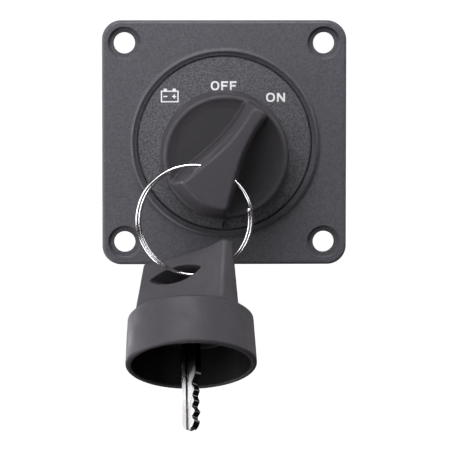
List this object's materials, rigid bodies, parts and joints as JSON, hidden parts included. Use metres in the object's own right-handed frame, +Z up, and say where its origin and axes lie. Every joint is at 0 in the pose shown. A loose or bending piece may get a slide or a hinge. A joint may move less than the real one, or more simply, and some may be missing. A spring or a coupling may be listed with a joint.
{
  "type": "key-operated battery switch",
  "caption": "Panel-mounted battery isolator with a square flange, a round ON/OFF dial, a removable key grip in the lock and a spare key hanging on a split ring.",
  "frame": {"origin": "centre of the four corner screw holes on the back face of the square flange", "axes": "+Z up, -Y out of the front of the panel towards the user, +X to the user's right"},
  "size_m": [0.069, 0.1156, 0.1109],
  "materials": {
    "housing_plastic": "moulded charcoal, fine matte",
    "dial_plastic": "spark-eroded grain",
    "key_plastic": "satin charcoal moulding",
    "cover_plastic": "black glass-filled moulding",
    "rotor_plastic": "natural acetal",
    "nickel_zinc": "nickel-plated die casting",
    "plug_brass": "turned brass",
    "wafer_brass": "stamped brass",
    "spring_steel": "drawn wire",
    "ring_chrome": "bright plated steel",
    "blade_nickel": "nickel-plated, milled",
    "copper": "tinned copper bar",
    "silver_contact": "silver contact",
    "stud_brass": "tinned brass",
    "stainless": "stainless steel",
    "seal_rubber": "nitrile"
  },
  "bodies": {
    "housing": {"panel_housing": "housing_plastic", "label_disc": "dial_plastic", "lock_barrel": "nickel_zinc", "lock_nut": "nickel_zinc", "detent_ring": "stainless", "stud_contact_tips": "silver_contact", "left_terminal_stud": "stud_brass", "right_terminal_stud": "stud_brass", "rear_cover": "cover_plastic", "cover_screws": "stainless", "flat_washers": "stainless", "spring_washers": "stainless", "terminal_nuts": "stainless"},
    "lock": {"lock_plug": "plug_brass", "lock_wafers": "wafer_brass", "plug_seal": "seal_rubber", "plug_circlip": "spring_steel", "rotor": "rotor_plastic", "detent_balls": "spring_steel", "detent_springs": "spring_steel", "contact_spring": "spring_steel", "contact_bridge": "copper", "bridge_contact_tips": "silver_contact"},
    "turned_key": {"turned_key_cap": "key_plastic", "turned_key_blade": "blade_nickel"},
    "ring": {"split_ring": "ring_chrome"},
    "spare_key": {"spare_key_cap": "key_plastic", "spare_key_blade": "blade_nickel"}
  },
  "joints": [
    {"name": "lock_turn", "type": "hinge", "parent": "housing", "child": "lock", "pos_m": [0, 0, -0.0031], "axis": [0, -1, 0], "range_deg": [0, 40]},
    {"name": "key_pull", "type": "slide", "parent": "lock", "child": "turned_key", "axis": [0, -1, 0], "range_m": [0, 0.03]},
    {"name": "ring_swing", "type": "hinge", "parent": "turned_key", "child": "ring", "pos_m": [-0.00199, -0.03135, -0.00622], "axis": [-0.8973, -0.0691, 0.4361], "range_deg": [-6, 50]},
    {"name": "spare_key_slide", "type": "hinge", "parent": "ring", "child": "spare_key", "pos_m": [-0.00884, -0.02917, -0.01995], "axis": [0, -0.9877, -0.1564], "range_deg": [-40, 15]}
  ]
}
